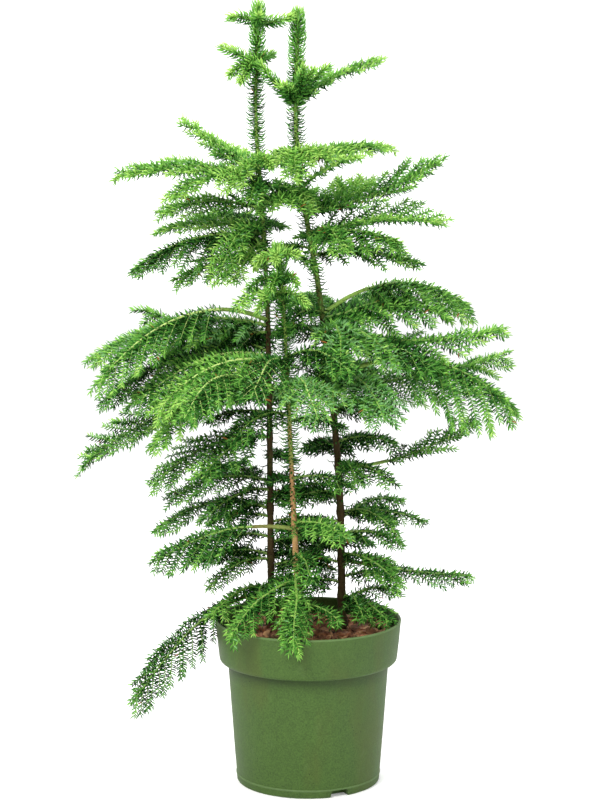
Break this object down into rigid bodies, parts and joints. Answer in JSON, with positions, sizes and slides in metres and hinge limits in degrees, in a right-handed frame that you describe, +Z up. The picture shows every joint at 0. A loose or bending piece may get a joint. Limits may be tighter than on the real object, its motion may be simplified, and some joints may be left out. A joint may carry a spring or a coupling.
{
  "type": "norfolk island pine",
  "caption": "Potted young evergreen with slender stems in one clump, level tiers of feathery needle-clad sprays and a plain nursery pot.",
  "frame": {"origin": "centre of the pot's flat underside, on the pot's axis, at floor level", "axes": "+Z up along the pot's axis; the front of the plant, as pictured, faces -Y and its right is +X"},
  "size_m": [0.6188, 0.4845, 1.12],
  "materials": {
    "pot_plastic": "matte olive green moulded plastic, lightly scuffed and weathered",
    "potting_bark": "loose reddish-brown bark chips and coir",
    "stem_bark": "rough brown bark ringed with small leaf scars",
    "bough_bark": "smooth yellow-green young bark",
    "needles": "soft satin needles, bright yellow-green at the young tips"
  },
  "bodies": {
    "root": {"left_stem": "stem_bark", "left_tier_10_shoots": "needles", "left_tier_11_shoots": "needles", "left_tier_1_bough_1": "bough_bark", "left_tier_1_spray_1": "needles", "left_tier_1_spray_2": "needles", "left_tier_2_spray_1": "needles", "left_tier_3_spray_1": "needles", "left_tier_4_spray_1": "needles", "left_tier_5_spray_1": "needles", "left_tier_6_spray_1": "needles", "left_tier_6_spray_2": "needles", "left_tier_7_bough_3": "bough_bark", "left_tier_7_spray_1": "needles", "left_tier_7_spray_2": "needles", "left_tier_7_spray_3": "needles", "left_tier_8_spray_1": "needles", "left_tier_8_spray_2": "needles", "left_tier_8_spray_3": "needles", "left_tier_9_spray_1": "needles", "left_tier_9_spray_2": "needles", "left_tier_9_spray_3": "needles", "middle_stem": "stem_bark", "middle_tier_1_spray_1": "needles", "middle_tier_2_bough_1": "bough_bark", "middle_tier_2_spray_1": "needles", "middle_tier_2_spray_2": "needles", "middle_tier_3_bough_1": "bough_bark", "middle_tier_3_spray_1": "needles", "middle_tier_3_spray_2": "needles", "middle_tier_4_spray_1": "needles", "middle_tier_5_shoots": "needles", "pot": "pot_plastic", "right_stem": "stem_bark", "right_tier_10_shoots": "needles", "right_tier_1_spray_1": "needles", "right_tier_2_bough_1": "bough_bark", "right_tier_2_spray_1": "needles", "right_tier_2_spray_2": "needles", "right_tier_2_spray_3": "needles", "right_tier_3_spray_1": "needles", "right_tier_4_bough_1": "bough_bark", "right_tier_4_spray_1": "needles", "right_tier_4_spray_2": "needles", "right_tier_4_spray_3": "needles", "right_tier_5_bough_2": "bough_bark", "right_tier_5_spray_1": "needles", "right_tier_5_spray_2": "needles", "right_tier_5_spray_3": "needles", "right_tier_6_bough_4": "bough_bark", "right_tier_6_spray_1": "needles", "right_tier_6_spray_2": "needles", "right_tier_6_spray_3": "needles", "right_tier_6_spray_4": "needles", "right_tier_7_spray_1": "needles", "right_tier_7_spray_2": "needles", "right_tier_8_spray_1": "needles", "right_tier_9_spray_1": "needles", "right_tier_9_spray_2": "needles", "soil": "potting_bark"}
  },
  "joints": []
}
